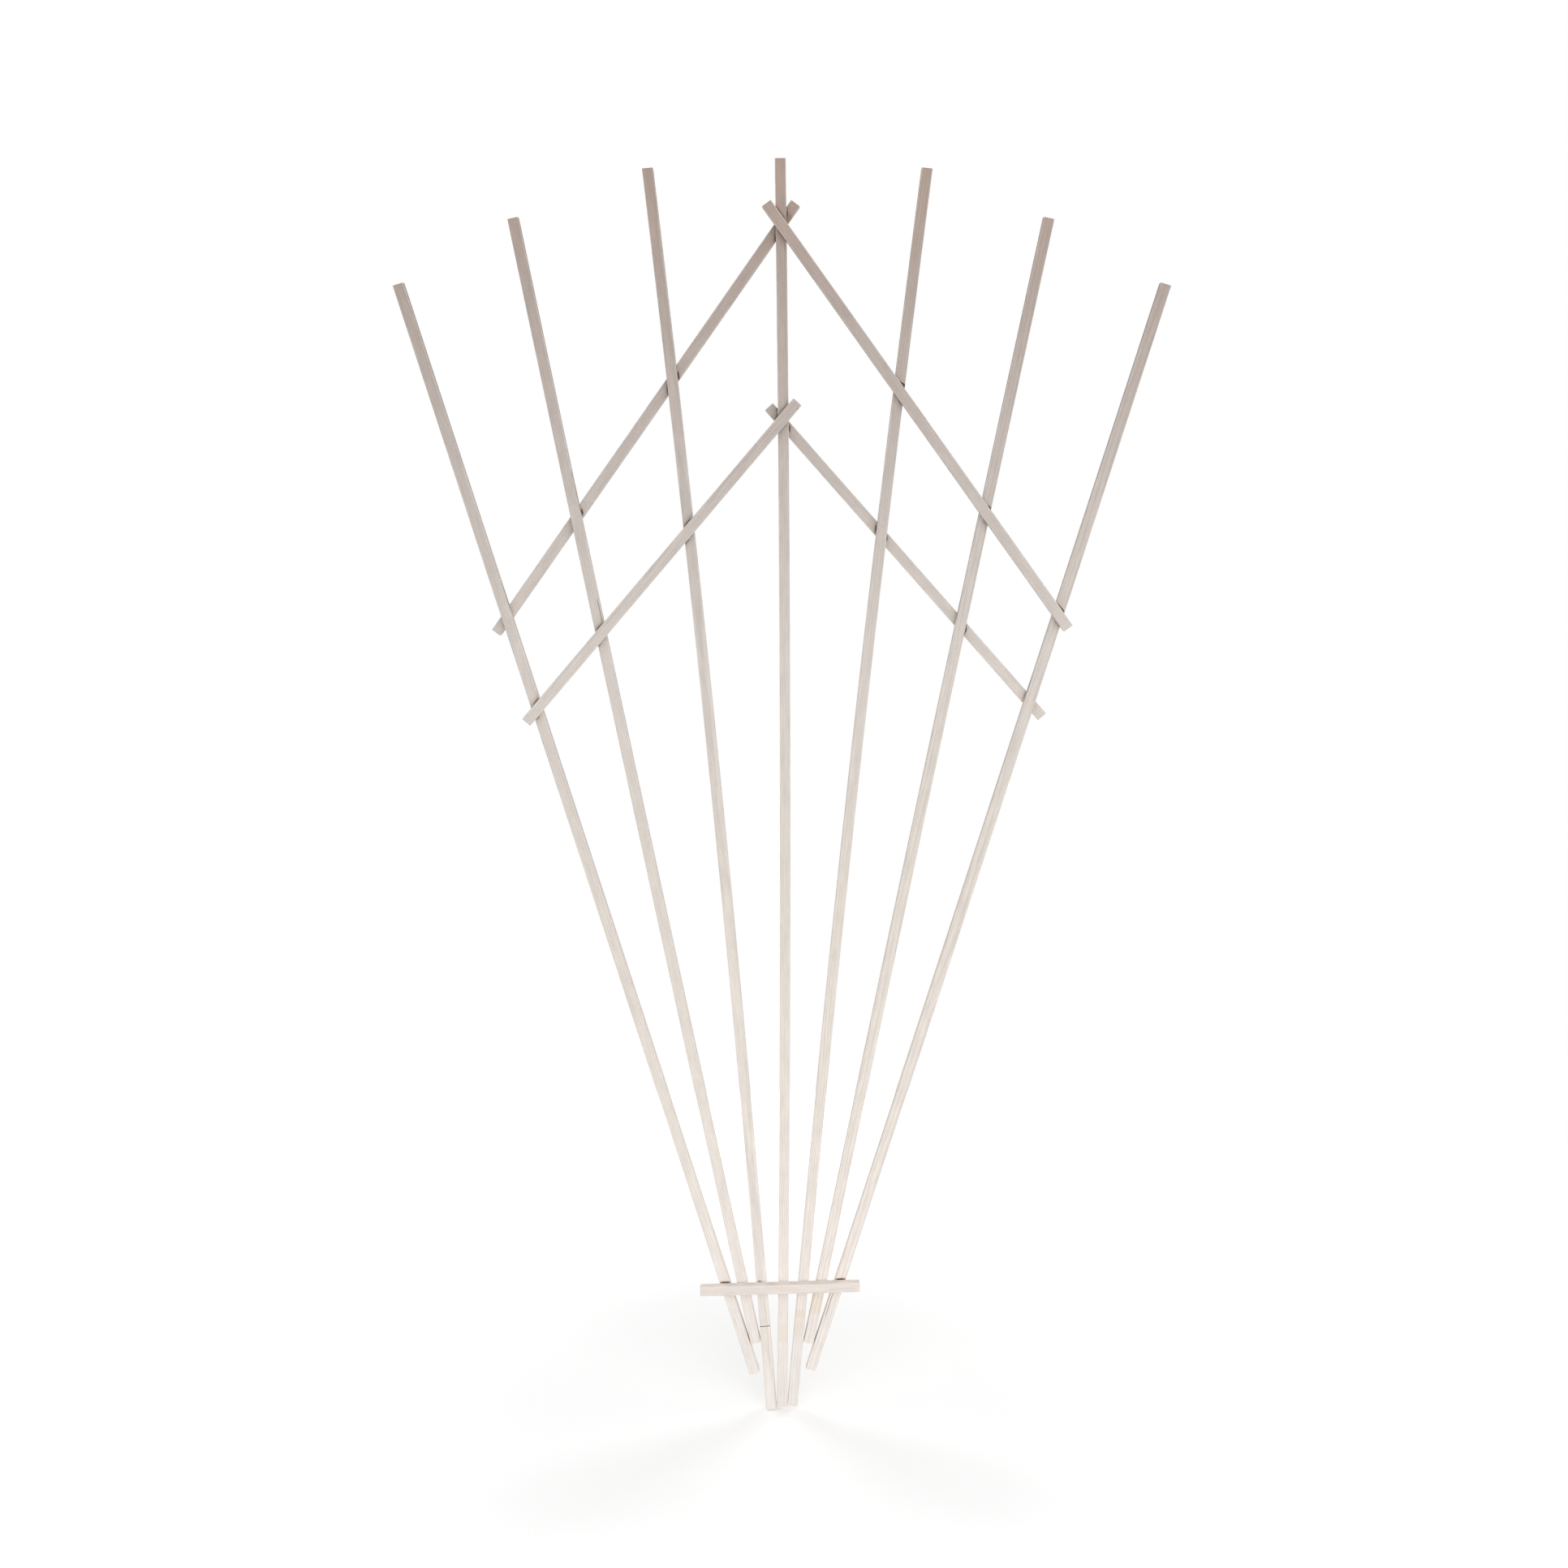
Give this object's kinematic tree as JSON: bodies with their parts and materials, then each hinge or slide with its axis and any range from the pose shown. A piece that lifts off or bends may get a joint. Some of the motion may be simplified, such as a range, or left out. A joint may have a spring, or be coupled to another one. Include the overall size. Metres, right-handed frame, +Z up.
{
  "type": "espalier frame",
  "caption": "Fan-shaped wooden espalier frame of square battens, bundled by a bar at the foot and spread by crossed braces, to carry a trained climbing plant.",
  "frame": {"origin": "on the ground under the middle of the fan, at the lowest foot's height, in the uprights' mid plane", "axes": "+X across the fan to the right as seen from the front, +Y to the back, +Z up the centre upright"},
  "size_m": [1.0664, 0.045, 1.8001],
  "materials": {
    "batten_wood": "sawn softwood with a thin, worn pale wash",
    "screw_steel": "dull zinc plate"
  },
  "bodies": {
    "root": {"left_outer_upright": "batten_wood", "left_second_upright": "batten_wood", "left_inner_upright": "batten_wood", "centre_upright": "batten_wood", "right_inner_upright": "batten_wood", "right_second_upright": "batten_wood", "right_outer_upright": "batten_wood", "upper_left_brace": "batten_wood", "upper_right_brace": "batten_wood", "lower_left_brace": "batten_wood", "lower_right_brace": "batten_wood", "foot_bar": "batten_wood", "screw_upper_left_outer": "screw_steel", "screw_upper_left_second": "screw_steel", "screw_upper_left_inner": "screw_steel", "screw_upper_centre": "screw_steel", "screw_upper_right_inner": "screw_steel", "screw_upper_right_second": "screw_steel", "screw_upper_right_outer": "screw_steel", "screw_lower_left_outer": "screw_steel", "screw_lower_left_second": "screw_steel", "screw_lower_left_inner": "screw_steel", "screw_lower_centre": "screw_steel", "screw_lower_right_inner": "screw_steel", "screw_lower_right_second": "screw_steel", "screw_lower_right_outer": "screw_steel", "screw_foot_left_outer": "screw_steel", "screw_foot_left_second": "screw_steel", "screw_foot_left_inner": "screw_steel", "screw_foot_centre": "screw_steel", "screw_foot_right_inner": "screw_steel", "screw_foot_right_second": "screw_steel", "screw_foot_right_outer": "screw_steel"}
  },
  "joints": []
}
